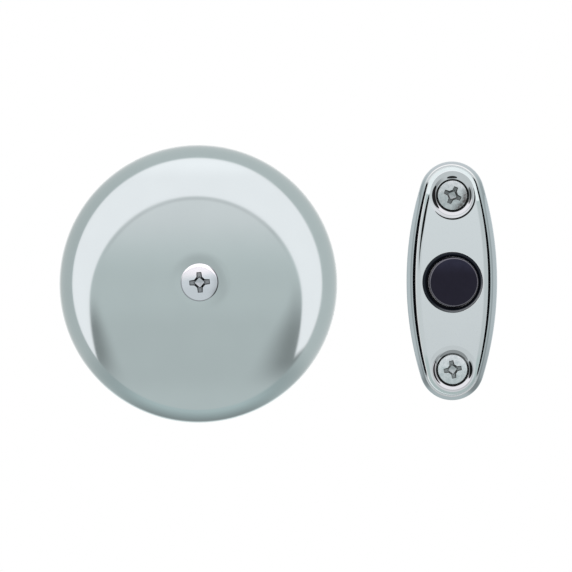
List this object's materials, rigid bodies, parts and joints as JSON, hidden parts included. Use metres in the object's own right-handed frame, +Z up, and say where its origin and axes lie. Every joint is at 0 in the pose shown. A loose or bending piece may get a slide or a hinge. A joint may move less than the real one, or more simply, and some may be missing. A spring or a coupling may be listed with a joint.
{
  "type": "mechanical doorbell",
  "caption": "Mechanical through-door bell: a chrome dome gong with a hammer works inside, and an oval chrome push plate with a black push button and rod.",
  "frame": {"origin": "centre of the gong unit's base plate, on its back face, which lies on the door", "axes": "+X to the right seen from the front, towards the push unit; +Y back into the door; +Z up"},
  "size_m": [0.1183, 0.0805, 0.075],
  "materials": {
    "gong_chrome": "satin polished chrome",
    "plate_chrome": "bright polished chrome",
    "chrome_screw": "polished",
    "zinc_screw": "matt zinc plate",
    "zinc_plate": "zinc plated sheet",
    "turned_steel": "turned, bright",
    "spring_steel": "oiled spring steel",
    "hammer_brass": "turned brass",
    "black_housing": "glossy moulded",
    "black_button": "semi gloss moulded",
    "white_plastic": "moulded",
    "buffer_rubber": "matt",
    "fibre": "pressed fibre"
  },
  "bodies": {
    "door_fittings": {"gong": "gong_chrome", "base_plate": "zinc_plate", "centre_post": "turned_steel", "gong_washer": "fibre", "gong_screw": "chrome_screw", "rod_bush": "white_plastic", "trip_lever_pin": "turned_steel", "stop_buffer": "buffer_rubber", "hammer_pivot": "turned_steel", "hammer_clip": "spring_steel", "hammer_spring": "spring_steel", "push_plate": "plate_chrome", "upper_screw": "zinc_screw", "lower_screw": "zinc_screw", "button_housing": "black_housing", "push_on_washers": "spring_steel", "button_spring": "spring_steel"},
    "trip_lever": {"trip_lever": "zinc_plate"},
    "hammer": {"hammer_arm": "zinc_plate", "hammer_head": "hammer_brass"},
    "button": {"button_cap": "black_button", "push_rod": "turned_steel", "rod_clip": "spring_steel"}
  },
  "joints": [
    {"name": "button_press", "type": "slide", "parent": "door_fittings", "child": "button", "axis": [0, 1, 0], "range_m": [0, 0.0032], "stiffness_N_per_m": 300, "springref_m": -0.003, "deforming": ["button_spring"]},
    {"name": "trip_lever_tilt", "type": "hinge", "parent": "door_fittings", "child": "trip_lever", "pos_m": [0, -0.004, -0.008], "axis": [-1, 0, 0], "range_deg": [0, 20]},
    {"name": "hammer_swing", "type": "hinge", "parent": "door_fittings", "child": "hammer", "pos_m": [-0.022, -0.0075, -0.007], "axis": [0, -1, 0], "range_deg": [0, 17.5], "stiffness_Nm_per_rad": 0.02, "springref_deg": -28.65, "deforming": ["hammer_spring"]}
  ],
  "couplings": [
    {"joint": "hammer_swing", "follows": "trip_lever_tilt", "ratio": 0.85}
  ]
}
